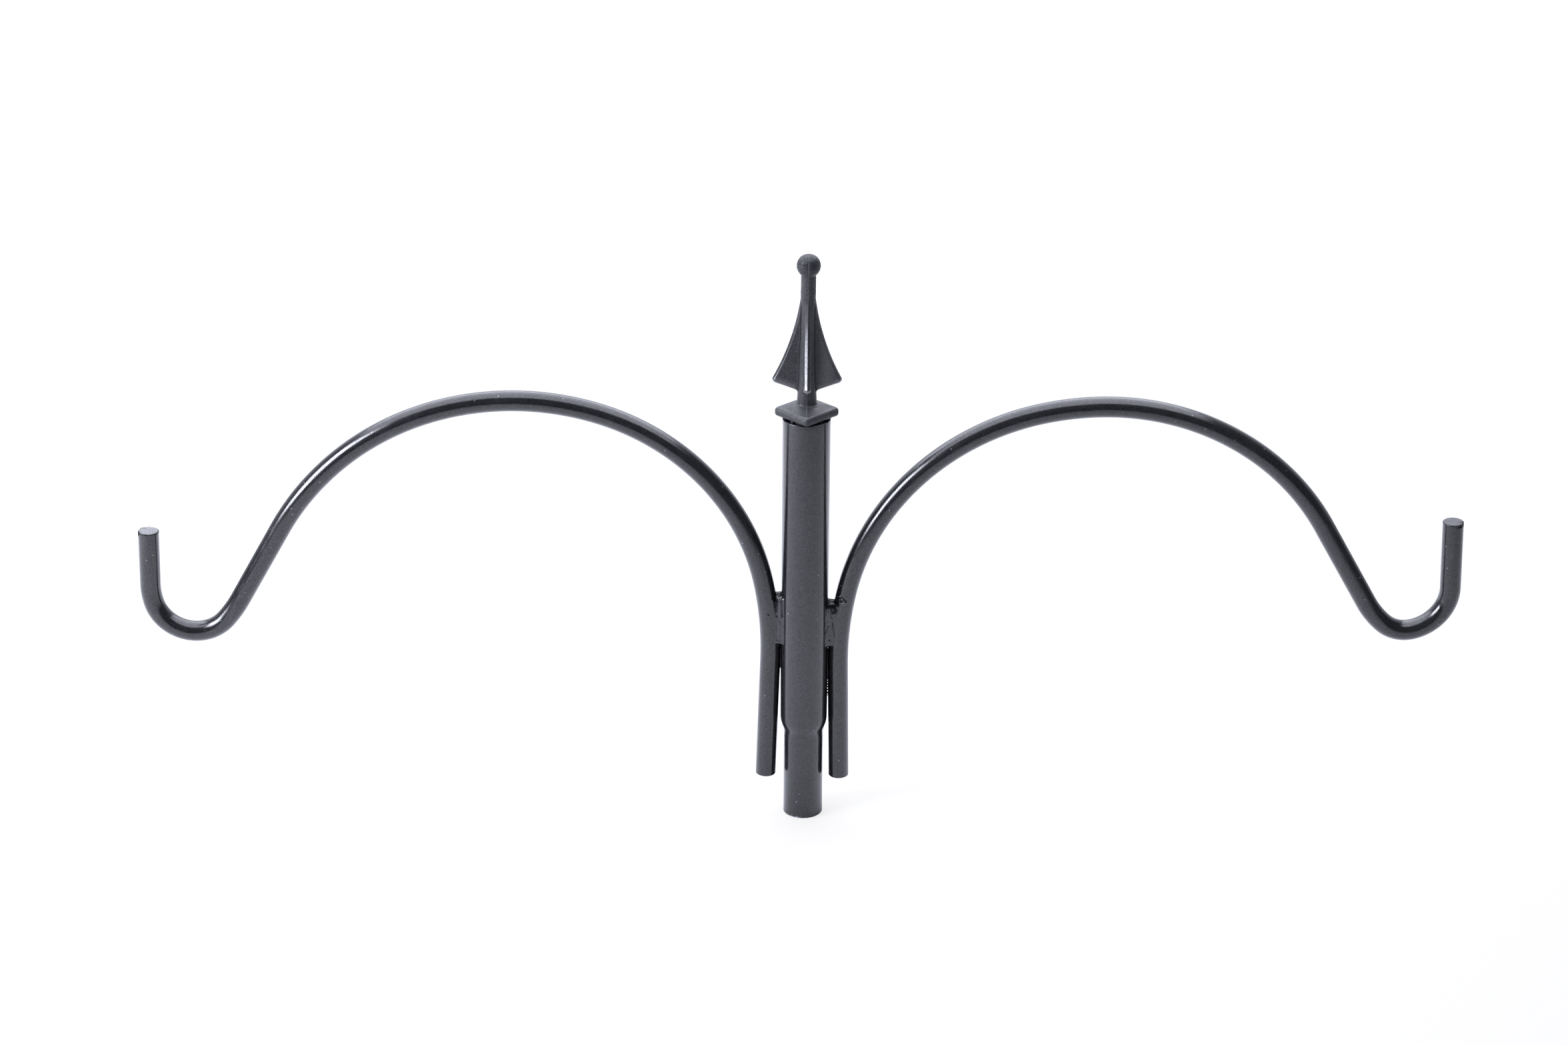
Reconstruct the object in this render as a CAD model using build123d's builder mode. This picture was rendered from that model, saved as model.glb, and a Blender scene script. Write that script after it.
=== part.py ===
from build123d import *
import os
from math import cos, radians, sin, sqrt

# Top section of a stacking bird feeder pole: a steel tube, two bent bar arms
# welded to its sides, and a moulded finial pushed into its open top.
# Lengths are in millimetres and turns in degrees, and sizes include the
# powder coat. +Z runs up the tube, X runs through both hooks, the front is
# -Y, and the origin is the centre of the tube's lower end.

# Tube
tube_radius = 11.15
tube_wall = 1.5
tube_length = 204.0
rim_round = 0.3

# Spigot: the tube's lower end, drawn in to enter the bore of the next section
joint_clearance = 0.2
spigot_length = 44.0
shoulder_height = 5.4
shoulder_round = 16.0
spigot_root_round = 4.0

# Arms: solid bar. Each bend is a share of the former's radius and a turn.
bar_radius = 4.85
weld_gap = 0.1
bar_end_round = 0.5
arch_radius = 118.0
hook_radius = 19.3

left_hug_height = 87.0
left_leg = 61.6
left_lean = 1.8
left_arch_radius_shares = (1.44, 0.947, 1.069, 1.116)
left_arch_turns = (13.4, 60.4, 59.0, 19.0)
left_run = 42.2
left_hook_radius_shares = (3.2, 1.0, 1.76)
left_hook_turns = (11.6, 124.3, 16.7)
left_tip = 27.1

right_hug_height = 81.6
right_leg = 59.3
right_lean = 1.0
right_arch_radius_shares = (1.45, 0.995, 1.136, 1.01)
right_arch_turns = (12.6, 65.3, 10.4, 62.2)
right_run = 45.0
right_hook_radius_shares = (2.2, 0.8, 1.114)
right_hook_turns = (18.6, 56.5, 77.7)
right_tip = 33.5

# Weld beads: one in each groove between a leg and the tube, front and rear
weld_half_width = 3.3
weld_half_depth = 1.9
weld_crown = 4.75
weld_end_round = 1.0
left_weld_foot = 89.6
left_weld_length = 25.4
right_weld_foot = 88.8
right_weld_length = 22.6

# Finial: flange, stem and ball. Heights are from the flange's underside.
seat_gap = 0.9
flange_side = 21.3
flange_edge = 3.9
flange_rise = 0.9
flange_corner = 1.2
flange_round = 1.1
stem_radius = 4.5
stem_pad_margin = 0.2
stem_foot_round = 0.8
stem_foot_length = 1.8
stem_flare = 52.0
neck_radius = 3.25
neck_round = 0.4
ball_radius = 5.22
ball_height = 72.3

# Finial fins: one at each corner of the flange
fin_count = 4
fin_reach = 16.5
fin_thickness = 2.7
fin_top_height = 58.0
fin_tip_height = 16.8
fin_foot_drop = 4.4
fin_bow = 2.3
fin_root_depth = 0.4
fin_tip_round = 1.4
fin_edge_round = 0.7

# Finial plug: a core with ribs that run in the tube's bore
plug_clearance = 0.05
plug_length = 22.0
plug_core_radius = 8.3
plug_rib_count = 8
plug_rib_width = 1.2
plug_lead_depth = 0.8
plug_lead_length = 3.0

# What fits together takes its size from the same values
bore_radius = tube_radius - tube_wall
spigot_radius = bore_radius - joint_clearance
hug_radius = tube_radius + weld_gap + bar_radius
flange_bottom = tube_length + seat_gap
flange_shoulder = flange_bottom + flange_edge
flange_top = flange_shoulder + flange_rise
stem_pad_radius = stem_radius + stem_foot_round + stem_pad_margin
ball_centre = flange_bottom + ball_height
ball_foot = ball_centre - sqrt(ball_radius**2 - neck_radius**2)
plug_radius = bore_radius - plug_clearance
plug_bottom = flange_bottom - plug_length


def tube_wall_line(inset):
    """Corner points of the tube's half section, this far inside its outer surface."""
    return [
        (spigot_radius - inset, 0),
        (spigot_radius - inset, spigot_length),
        (tube_radius - inset, spigot_length + shoulder_height),
        (tube_radius - inset, tube_length),
    ]


def bend_arm(name, side, hug_height, leg, lean, arch_shares, arch_turns, run, hook_shares, hook_turns, tip):
    """One arm as a round bar swept along straights and tangent bends, from the leg's foot to the tip."""
    first_radius = arch_radius * arch_shares[0]
    slope = radians(lean)
    foot_reach = hug_radius + first_radius * (1 - cos(slope)) + leg * sin(slope)
    foot_height = hug_height - first_radius * sin(slope) - leg * cos(slope)
    arm_plane = Plane(origin=(0, 0, 0), x_dir=(side, 0, 0), z_dir=(0, -side, 0))
    with BuildPart() as arm:
        with BuildLine(arm_plane) as route:
            leg_line = last = PolarLine((foot_reach, foot_height), leg, angle=90 + lean)
            for share, turn in zip(arch_shares, arch_turns):
                last = JernArc(last @ 1, last % 1, arch_radius * share, -turn)
            last = PolarLine(last @ 1, run, direction=last % 1)
            for share, turn in zip(hook_shares, hook_turns):
                last = JernArc(last @ 1, last % 1, hook_radius * share, turn)
            PolarLine(last @ 1, tip, direction=last % 1)
        with BuildSketch(Plane(origin=leg_line @ 0, z_dir=leg_line % 0)):
            Circle(bar_radius)
        sweep()
        fillet(faces().filter_by(GeomType.PLANE).edges(), radius=bar_end_round)
    arm.part.label = name
    return arm.part


def arm_reach(height, hug_height, first_share):
    """Distance of a leg's centre line from the tube's axis, in its first bend."""
    first_radius = arch_radius * first_share
    return hug_radius + first_radius - sqrt(first_radius**2 - (height - hug_height) ** 2)


def lay_weld(name, side, facing, arm, foot, length, hug_height, first_share):
    """A round-ended bead along the middle of the groove, cut to the round of the tube and of the bar."""
    ends = []
    for height in (foot, foot + length):
        groove = (tube_radius + arm_reach(height, hug_height, first_share) - bar_radius) / 2
        ends.append(Vector(side * (groove + weld_gap), facing * (weld_crown - weld_half_depth), height))
    along = ends[1] - ends[0]
    with BuildPart() as weld:
        with BuildSketch(Plane(origin=ends[0], x_dir=along.cross(Vector(0, 1, 0)), z_dir=along)):
            Ellipse(weld_half_width, weld_half_depth)
        extrude(amount=along.length)
        fillet(faces().filter_by(GeomType.PLANE).edges(), radius=weld_end_round)
        with BuildSketch(Plane.XY):
            Circle(tube_radius)
        extrude(amount=tube_length, mode=Mode.SUBTRACT)
        add(arm, mode=Mode.SUBTRACT)
    weld.part.label = name
    return weld.part


def mould_fin():
    """One fin, standing out along +X: a bowed outer edge, a rounded tip and a slanting foot."""
    tip = (fin_reach, flange_bottom + fin_tip_height)
    top = (neck_radius - fin_root_depth, flange_bottom + fin_top_height)
    foot_slope = fin_foot_drop / (fin_reach - stem_radius)
    root = (0, flange_bottom + fin_tip_height - foot_slope * fin_reach)
    with BuildPart() as fin:
        with BuildSketch(Plane.XZ) as outline:
            with BuildLine():
                SagittaArc(top, tip, -fin_bow)
                Polyline(tip, root, (0, flange_bottom + fin_top_height), top)
            make_face()
            fillet(outline.vertices().sort_by_distance(tip)[0], radius=fin_tip_round)
        extrude(amount=fin_thickness / 2, both=True)
        rim_edges = fin.faces().filter_by(Axis.Y).edges().filter_by(lambda edge: edge.center().X > neck_radius)
        fillet(rim_edges, radius=fin_edge_round)
    return fin.part


def mould_plug_ribs():
    """The plug's ribs: spokes cut from a round that just clears the bore and narrows at its lower end."""
    with BuildPart() as ribs:
        with BuildSketch(Plane.XZ):
            with BuildLine():
                Polyline(
                    (0, plug_bottom), (plug_radius - plug_lead_depth, plug_bottom),
                    (plug_radius, plug_bottom + plug_lead_length), (plug_radius, flange_bottom),
                    (0, flange_bottom), close=True,
                )
            make_face()
        revolve(axis=Axis.Z)
        with BuildSketch(Plane.XY.offset(plug_bottom)):
            with PolarLocations(plug_radius, plug_rib_count):
                Rectangle(2 * plug_radius, plug_rib_width)
        extrude(amount=plug_length, mode=Mode.INTERSECT)
    return ribs.part


# Tube: a half section turned round the axis. The real tube is one piece of steel, and its
# two nodes meet face to face at the spigot's upper end, where the next section's rim stops.
with BuildPart() as drawn_tube:
    with BuildSketch(Plane.XZ):
        with BuildLine():
            outer = FilletPolyline(*tube_wall_line(0), radius=(spigot_root_round, shoulder_round))
            inner = FilletPolyline(*tube_wall_line(tube_wall), radius=(spigot_root_round, shoulder_round))
            Line(outer @ 0, inner @ 0)
            Line(outer @ 1, inner @ 1)
        make_face()
    revolve(axis=Axis.Z)
    rim = faces().filter_by(Axis.Z).sort_by(Axis.Z)[-1]
    fillet(rim.edges(), radius=rim_round)
with BuildPart() as pole_tube:
    add(drawn_tube.part)
    split(bisect_by=Plane.XY.offset(spigot_length), keep=Keep.TOP)
pole_tube.part.label = "pole_tube"
with BuildPart() as spigot:
    add(drawn_tube.part)
    split(bisect_by=Plane.XY.offset(spigot_length), keep=Keep.BOTTOM)
spigot.part.label = "spigot"

# Arms: the same bends on each side, with each bar's own measured values
left_arm = bend_arm(
    "left_arm", -1, left_hug_height, left_leg, left_lean, left_arch_radius_shares, left_arch_turns,
    left_run, left_hook_radius_shares, left_hook_turns, left_tip,
)
right_arm = bend_arm(
    "right_arm", 1, right_hug_height, right_leg, right_lean, right_arch_radius_shares, right_arch_turns,
    right_run, right_hook_radius_shares, right_hook_turns, right_tip,
)

# Weld beads: front and rear of each leg
welds = []
for face_name, facing in (("front", -1), ("rear", 1)):
    welds.append(
        lay_weld(
            f"left_{face_name}_weld", -1, facing, left_arm, left_weld_foot, left_weld_length,
            left_hug_height, left_arch_radius_shares[0],
        )
    )
    welds.append(
        lay_weld(
            f"right_{face_name}_weld", 1, facing, right_arm, right_weld_foot, right_weld_length,
            right_hug_height, right_arch_radius_shares[0],
        )
    )

# Finial: square flange, turned stem and ball, fins, and the ribbed plug
fin = mould_fin()
plug_ribs = mould_plug_ribs()
with BuildPart() as finial:
    with BuildSketch(Plane.XY.offset(flange_bottom)):
        RectangleRounded(flange_side, flange_side, flange_corner, rotation=45)
    extrude(amount=flange_edge)
    with BuildSketch(Plane.XY.offset(flange_shoulder)):
        RectangleRounded(flange_side, flange_side, flange_corner, rotation=45)
    with BuildSketch(Plane.XY.offset(flange_top)):
        pad_side = 2 * (stem_pad_radius + stem_pad_margin)
        RectangleRounded(pad_side, pad_side, flange_corner, rotation=45)
    loft(ruled=True)
    for height in (flange_bottom, flange_shoulder):
        fillet(edges().filter_by_position(Axis.Z, height, height), radius=flange_round)

    with BuildSketch(Plane.XZ) as turned:
        with BuildLine():
            foot_top = (stem_radius, flange_top + stem_foot_length)
            stem_foot = (stem_radius, flange_top)
            pad = Polyline(
                (0, flange_shoulder), (stem_pad_radius, flange_shoulder), (stem_pad_radius, flange_top),
                stem_foot, foot_top,
            )
            neck = Line((neck_radius, flange_top + stem_flare), (neck_radius, ball_foot))
            TangentArc(neck @ 0, pad @ 1, tangent=(0, -1))
            ball_side = ThreePointArc(neck @ 1, (ball_radius, ball_centre), (0, ball_centre + ball_radius))
            Line(ball_side @ 1, pad @ 0)
        make_face()
        fillet(turned.vertices().sort_by_distance((neck_radius, ball_foot))[0], radius=neck_round)
        fillet(turned.vertices().sort_by_distance(stem_foot)[0], radius=stem_foot_round)
    revolve(axis=Axis.Z)
    with PolarLocations(0, fin_count):
        add(fin)

    with BuildSketch(Plane.XY.offset(plug_bottom)):
        Circle(plug_core_radius)
    extrude(amount=plug_length)
    add(plug_ribs)
finial.part.label = "finial"

os.makedirs("parts", exist_ok=True)
for piece in (pole_tube.part, spigot.part, left_arm, right_arm, *welds, finial.part):
    export_step(piece, f"parts/{piece.label}.step")
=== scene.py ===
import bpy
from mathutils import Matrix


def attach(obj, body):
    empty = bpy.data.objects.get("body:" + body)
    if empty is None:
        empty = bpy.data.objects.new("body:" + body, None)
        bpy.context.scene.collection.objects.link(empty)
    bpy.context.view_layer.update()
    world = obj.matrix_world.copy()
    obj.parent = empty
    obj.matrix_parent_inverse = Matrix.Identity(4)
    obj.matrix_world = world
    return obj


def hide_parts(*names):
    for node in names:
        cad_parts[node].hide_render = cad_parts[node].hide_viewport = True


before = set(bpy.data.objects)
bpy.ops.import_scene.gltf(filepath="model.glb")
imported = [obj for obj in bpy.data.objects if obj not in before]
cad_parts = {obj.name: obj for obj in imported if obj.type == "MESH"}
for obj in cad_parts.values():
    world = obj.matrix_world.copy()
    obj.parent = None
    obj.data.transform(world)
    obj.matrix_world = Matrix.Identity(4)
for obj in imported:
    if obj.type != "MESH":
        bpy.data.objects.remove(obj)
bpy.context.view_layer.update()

import bpy
import numpy as np
from mathutils import Matrix

# Pole tube
# One length of drawn steel tube. Its lower end is drawn in over a die to a
# spigot, both ends are sawn and deburred, and the whole frame is powder coated.
mm = 0.001
tube_radius = 11.15
tube_wall = 1.5
tube_length = 204.0
tube_rim_round = 0.3
spigot_radius = 9.45
spigot_length = 44.0
shoulder_height = 5.4
shoulder_round = 16.0
spigot_root_round = 12.0
foot_rim_round = 0.1
chip_height = 0.6
chips_all_round = 0.3
chips_at_side = 1.1
chipped_side = -114
chipped_spread = 36
tube_around = 224


def rounded_line(corners, radii, bend_step, straight_step):
    """Points on a line of straights with each corner replaced by the arc that is
    tangent to both its sides. The arc's centre is on the corner's bisector, at
    the radius over the sine of half the corner's angle. Points close to a
    straight's ends keep its shading straight up to them."""
    corners = np.array(corners, float)
    spans = [corners[:1]]
    for before, corner, after, radius in zip(corners, corners[1:], corners[2:], radii):
        back = (before - corner) / np.linalg.norm(before - corner)
        on = (after - corner) / np.linalg.norm(after - corner)
        half = np.arccos(np.clip(back @ on, -1, 1)) / 2
        middle = (back + on) / np.linalg.norm(back + on)
        centre = corner + middle * radius / np.sin(half)
        turn = np.pi - 2 * half
        swing = np.linspace(-turn / 2, turn / 2, max(4, int(turn * radius / bend_step)))[:, None]
        across = (on - back) / np.linalg.norm(on - back)
        spans.append(centre + radius * (across * np.sin(swing) - middle * np.cos(swing)))
    spans.append(corners[-1:])
    line = [spans[0]]
    for span, following in zip(spans, spans[1:]):
        gap = np.linalg.norm(following[0] - span[-1])
        share = np.linspace(0, 1, max(2, int(gap / straight_step) + 1))[1:-1]
        share = np.unique(np.append(share, (0.02, 0.98)))[:, None]
        line += [span[-1] + share * (following[0] - span[-1]), following]
    return np.concatenate(line)


def turned(profile, around):
    """Rings of a turned surface: a profile point (r, z) at angle a stands at
    (r cos a, r sin a, z)."""
    angle = np.linspace(0, 2 * np.pi, around, endpoint=False)
    reach, height = profile[:, :1], profile[:, 1:]
    return np.stack([reach * np.cos(angle), reach * np.sin(angle), height + 0 * angle], axis=-1)


def skin(name, shells, loop=False, **marks):
    """A mesh of closed shells, in millimetres. A shell is rings of points, and
    four-sided faces join each ring to the next. With loop the last ring joins
    the first, and otherwise each end closes in a fan on its middle. The faces
    point outwards: the volume summed from their corners' triple products comes
    out positive."""
    points, faces, readings = [], [], {mark: [] for mark in marks}
    begun = 0
    for number, rings in enumerate(shells):
        count, around = rings.shape[:2]
        here = np.arange(count * around).reshape(count, around)
        beside = np.roll(here, -1, axis=1)
        onward = np.roll(here, -1, axis=0)
        quads = np.stack([here, beside, np.roll(beside, -1, axis=0), onward], axis=-1)
        spots = rings.reshape(-1, 3)
        fans = np.empty((0, 3), int)
        if not loop:
            quads = quads[:-1]
            spots = np.vstack([spots, rings[0].mean(axis=0), rings[-1].mean(axis=0)])
            first, last = count * around, count * around + 1
            fans = np.vstack([
                np.stack([0 * here[0] + first, beside[0], here[0]], axis=-1),
                np.stack([0 * here[0] + last, here[-1], beside[-1]], axis=-1),
            ])
        quads = quads.reshape(-1, 4)
        triangles = np.vstack([quads[:, [0, 1, 2]], quads[:, [0, 2, 3]], fans])
        a, b, c = (spots[triangles[:, k]] for k in range(3))
        if (a * np.cross(b, c)).sum() < 0:
            quads, fans = quads[:, ::-1], fans[:, ::-1]
        for mark, values in marks.items():
            values = np.broadcast_to(values[number], rings.shape[:2])
            ends = [] if loop else [values[0].mean(), values[-1].mean()]
            readings[mark].append(np.append(values.ravel(), ends))
        points.append(spots)
        faces += (quads + begun).tolist() + (fans + begun).tolist()
        begun += len(spots)
    mesh = bpy.data.meshes.new(name)
    mesh.from_pydata((np.concatenate(points) * mm).tolist(), [], faces)
    for mark, values in readings.items():
        values = np.concatenate(values).astype(np.float32)
        mesh.attributes.new(mark, "FLOAT", "POINT").data.foreach_set("value", values)
    mesh.shade_smooth()
    piece = bpy.data.objects.new(name, mesh)
    bpy.context.scene.collection.objects.link(piece)
    return piece


def node_adder(tree):
    """A function that adds a node to this tree and fills each input, given by its
    name or place, with a value or with another node's output."""
    def add(kind, inputs, **settings):
        made = tree.nodes.new("ShaderNode" + kind)
        for setting, value in settings.items():
            setattr(made, setting, value)
        for socket, value in inputs.items():
            if isinstance(value, bpy.types.NodeSocket):
                tree.links.new(value, made.inputs[socket])
            else:
                made.inputs[socket].default_value = value
        return made
    return add


def finish_nodes(name):
    """An empty material: itself, its shader's inputs, its links, and a function
    that adds a node."""
    material = bpy.data.materials.new(name)
    material.use_nodes = True
    tree = material.node_tree
    return material, tree.nodes["Principled BSDF"].inputs, tree.links, node_adder(tree)


def noise(add, place, scale, detail):
    """Noise of this scale, mostly between 0.3 and 0.7."""
    return add("TexNoise", {"Vector": place, "Scale": scale, "Detail": detail}).outputs["Fac"]


def reading(add, mark):
    """What the mesh's attribute of this name says."""
    return add("Attribute", {}, attribute_name=mark).outputs["Fac"]


def carried(add, value, low, high, low_result, high_result):
    """A value carried from one range to another, and held at the ends."""
    ranges = {"From Min": low, "From Max": high, "To Min": low_result, "To Max": high_result}
    return add("MapRange", {"Value": value, **ranges}).outputs[0]


def product_sum(add, value, share, rest, **settings):
    """The value times the share, plus the rest."""
    return add("Math", {0: value, 1: share, 2: rest}, operation="MULTIPLY_ADD", **settings).outputs[0]


def blend(add, share, first, second):
    """The first colour where the share is 0, and the second where it is 1."""
    return add("Mix", {0: share, 6: first, 7: second}, data_type="RGBA").outputs[2]


def ramp(add, factor, low, high, low_colour, high_colour):
    """A colour that goes from one to the other as the factor goes from low to high."""
    made = add("ValToRGB", {"Fac": factor})
    darker, lighter = made.color_ramp.elements
    darker.position = low
    lighter.position = high
    darker.color = (*low_colour, 1)
    lighter.color = (*high_colour, 1)
    return made.outputs["Color"]


def bump(add, height, strength, distance, **under):
    """A normal tilted by this height, on top of the one it is given."""
    return add("Bump", {"Height": height, "Strength": strength, "Distance": distance, **under}).outputs[0]


def specks(add, place, scale, mark, plain_least, marked_least, size):
    """1 near the middle of those Voronoi cells whose random value is above the
    least one, which goes down where the attribute of this name is high."""
    cells = add("TexVoronoi", {"Vector": place, "Scale": scale, "Randomness": 1.0})
    chance = add("SeparateColor", {0: cells.outputs["Color"]}).outputs[0]
    least = carried(add, reading(add, mark), 0, 1, plain_least, marked_least)
    rare = add("Math", {0: chance, 1: least}, operation="GREATER_THAN").outputs[0]
    small = add("Math", {0: cells.outputs["Distance"], 1: size}, operation="LESS_THAN").outputs[0]
    return add("Math", {0: rare, 1: small}, operation="MULTIPLY").outputs[0]


def powder_coat():
    """Satin black powder coat. A broad and a fine noise mottle its colour, others
    vary its gloss and sheen, and orange peel and grain make its bump. It has light
    dust specks, more of them where the attribute dust is high. Where the attribute
    chips is high, a ragged noise lets the pale primer through, where sawn is high
    the coat is thin over saw marks, and where dull is high it is rough and
    reflects less. On the weld beads' dark marks and in the bars' tip dents, dull
    paints shade."""
    material, shader, links, add = finish_nodes("powder_coat_finish")
    place = add("TexCoord", {}).outputs["Object"]
    mottle = add("Mix", {0: 0.8, 2: noise(add, place, 70, 4), 3: noise(add, place, 2000, 2)}).outputs[0]
    coat = ramp(add, mottle, 0.41, 0.6, (0.0022, 0.0023, 0.0028), (0.0105, 0.0107, 0.0122))
    speck = specks(add, place, 650, "dust", 0.985, 0.8, 0.16)
    dusty = blend(add, speck, coat, (0.22, 0.22, 0.23, 1))

    sawn = reading(add, "sawn")
    stroke = add("Mapping", {"Vector": place, "Scale": (260, 2400, 260)}).outputs[0]
    strokes = noise(add, stroke, 1.0, 4)
    face = ramp(add, strokes, 0.35, 0.68, (0.03, 0.03, 0.032), (0.12, 0.122, 0.128))
    thin = blend(add, sawn, dusty, face)
    ragged = noise(add, place, 1300, 5)
    shown = carried(add, product_sum(add, reading(add, "chips"), 0.4, ragged), 0.76, 0.8, 0, 1)
    links.new(blend(add, shown, thin, (0.2, 0.2, 0.207, 1)), shader["Base Color"])

    dull = reading(add, "dull")
    sheen = carried(add, noise(add, place, 1600, 3), 0.35, 0.65, 0.39, 0.61)
    kept_share = add("Math", {0: 1.0, 1: dull}, operation="SUBTRACT").outputs[0]
    kept_sheen = add("Math", {0: sheen, 1: kept_share}, operation="MULTIPLY").outputs[0]
    links.new(kept_sheen, shader["Specular IOR Level"])
    smooth = carried(add, noise(add, place, 140, 4), 0.3, 0.7, 0.15, 0.22)
    rough = product_sum(add, shown, 0.35, product_sum(add, dull, 0.25, smooth))
    links.new(rough, shader["Roughness"])

    wavy = bump(add, noise(add, place, 620, 2), 0.18, 0.00003)
    grained = bump(add, noise(add, place, 2600, 3), 0.22, 0.00003, Normal=wavy)
    links.new(bump(add, strokes, sawn, 0.00012, Normal=grained), shader["Normal"])
    return material


powder_coat_finish = powder_coat()

outside = rounded_line(
    [(spigot_radius, foot_rim_round), (spigot_radius, spigot_length),
     (tube_radius, spigot_length + shoulder_height), (tube_radius, tube_length - tube_rim_round)],
    (spigot_root_round, shoulder_round), bend_step=0.3, straight_step=3.0,
)
inside = rounded_line(
    [(tube_radius - tube_wall, tube_length - tube_rim_round),
     (tube_radius - tube_wall, spigot_length + shoulder_height),
     (spigot_radius - tube_wall, spigot_length), (spigot_radius - tube_wall, foot_rim_round)],
    (shoulder_round, spigot_root_round), bend_step=0.3, straight_step=6.0,
)


def rim(reach, height, wall, rounding, up):
    """A sawn tube end in half section: two quarter rounds of this radius joined
    by the flat between them, from the outer wall to the inner one."""
    quarter = np.linspace(0, np.pi / 2, 7)[:, None]
    outer = np.hstack([
        reach - rounding + rounding * np.cos(quarter),
        height - up * rounding * (1 - np.sin(quarter)),
    ])
    inner = np.hstack([2 * reach - wall - outer[:, :1], outer[:, 1:]])[::-1]
    return np.vstack([outer, inner])


top_rim = rim(tube_radius, tube_length, tube_wall, tube_rim_round, 1)
foot_rim = rim(spigot_radius, 0, tube_wall, foot_rim_round, -1)[::-1]
tube_profile = np.vstack([outside[1:-1], top_rim, inside[1:-1], foot_rim])
tube_rings = turned(tube_profile, tube_around)
tube_angle = np.degrees(np.arctan2(tube_rings[..., 1], tube_rings[..., 0]))
rim_closeness = np.exp(-np.abs(tube_rings[..., 2]) / chip_height)
front_left = np.exp(-((tube_angle - chipped_side) / chipped_spread) ** 2)
chipped = rim_closeness * (chips_all_round + chips_at_side * front_left)
pole_tube = skin("drawn_tube", [tube_rings], loop=True, chips=[chipped])
pole_tube.data.materials.append(powder_coat_finish)
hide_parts("pole_tube", "spigot")
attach(pole_tube, "frame")

# Arms
# Each is one solid steel bar, bent cold on a former by hand, so that the two
# differ a little: leg, arch, sloping run and an open hook. The ends are sawn.
bar_radius = 4.85
bar_end_round = 0.5
bar_around = 88
bar_step = 1.3
weld_step = 0.3
weld_zone = (9, 39)
tip_step = 0.2
tip_first = bar_end_round + 0.12
tip_last = 2.8
rag_depth = 1.2
edge_chips = 0.25
edge_middle = 0.2
edge_width = 0.35
# Painted shadow: how strongly the dents are dulled to look dark.
dent_painted_shadow = 5
mark_front = 1.5
arch_radius = 118.0
hook_radius = 19.3
dust_reach = 245
dust_spread = 30
dust_least = 0.15
touching_reach = tube_radius + bar_radius
arms = {
    "left_arm": {
        "side": -1, "hug": 87.0, "leg": 61.6, "lean": 1.8, "run": 42.2, "tip": 27.1,
        "arch": ((1.44, 13.4), (0.947, 60.4), (1.069, 59.0), (1.116, 19.0)),
        "hook": ((3.2, 11.6), (1.0, 124.3), (1.76, 16.7)),
        "tip_rag": (
            (162, 10, -1.0), (148, 7, 0.25), (214, 12, 0.45), (236, 9, 0.2), (262, 8, 0.2),
            (60, 60, 0.1),
        ),
        "tip_dents": ((150, 9, 0.9, 0.6, 0.7), (196, 7, 0.3, 0.5, 0.3)),
        "thin": 1.0, "face_dull": 0.2, "rim_dull": 0.8, "dust": 1.0,
        "front_marks": (
            (17.0, 106.6, 17.0, 106.5, 0.4, -0.45), (17.5, 106.3, 17.6, 106.2, 0.3, 0.12),
            (17.2, 104.2, 16.4, 101.6, 0.4, -0.07), (16.4, 101.6, 15.5, 99.8, 0.4, -0.07),
            (16.2, 104.0, 15.6, 101.5, 0.6, 0.06),
        ),
    },
    "right_arm": {
        "side": 1, "hug": 81.6, "leg": 59.3, "lean": 1.0, "run": 45.0, "tip": 33.5,
        "arch": ((1.45, 12.6), (0.995, 65.3), (1.136, 10.4), (1.01, 62.2)),
        "hook": ((2.2, 18.6), (0.8, 56.5), (1.114, 77.7)),
        "tip_rag": ((158, 8, -0.7), (176, 9, 0.25), (285, 30, 0.12), (30, 50, 0.1)),
        "tip_dents": ((128, 26, 1.0, 0.4, 0.28), (156, 10, 0.7, 0.6, 0.6)),
        "thin": 0.25, "face_dull": 0.5, "rim_dull": 0.5, "dust": 0.35,
        "front_marks": (
            (16.2, 115.4, 17.6, 114.4, 0.4, 0.45), (17.6, 114.4, 19.1, 112.9, 0.4, 0.5),
            (19.1, 112.9, 17.7, 112.1, 0.35, 0.4), (17.0, 113.7, 18.3, 113.0, 0.45, -0.4),
            (15.9, 113.6, 16.3, 111.6, 0.45, 0.35), (15.2, 111.4, 15.5, 109.8, 0.5, -0.35),
            (15.5, 113.8, 15.7, 112.4, 0.35, -0.3),
        ),
    },
}


def bends(radius, turns, way):
    """A span for each share of the radius and turn in degrees: its length, the
    radius times the turn, and its curvature, one over the radius."""
    return [(radius * share * np.radians(turn), way / (radius * share)) for share, turn in turns]


def arm_route(arm):
    """The bar's middle line as spans of steady curvature: the start, its heading,
    and for each span its length and its curvature, left turns positive."""
    first = arch_radius * arm["arch"][0][0]
    lean = np.radians(arm["lean"])
    start = np.array([
        touching_reach + first * (1 - np.cos(lean)) + arm["leg"] * np.sin(lean),
        arm["hug"] - first * np.sin(lean) - arm["leg"] * np.cos(lean),
    ])
    spans = [(arm["leg"], 0.0), *bends(arch_radius, arm["arch"], -1)]
    spans += [(arm["run"], 0.0), *bends(hook_radius, arm["hook"], 1), (arm["tip"], 0.0)]
    return start, np.pi / 2 + lean, spans


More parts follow.
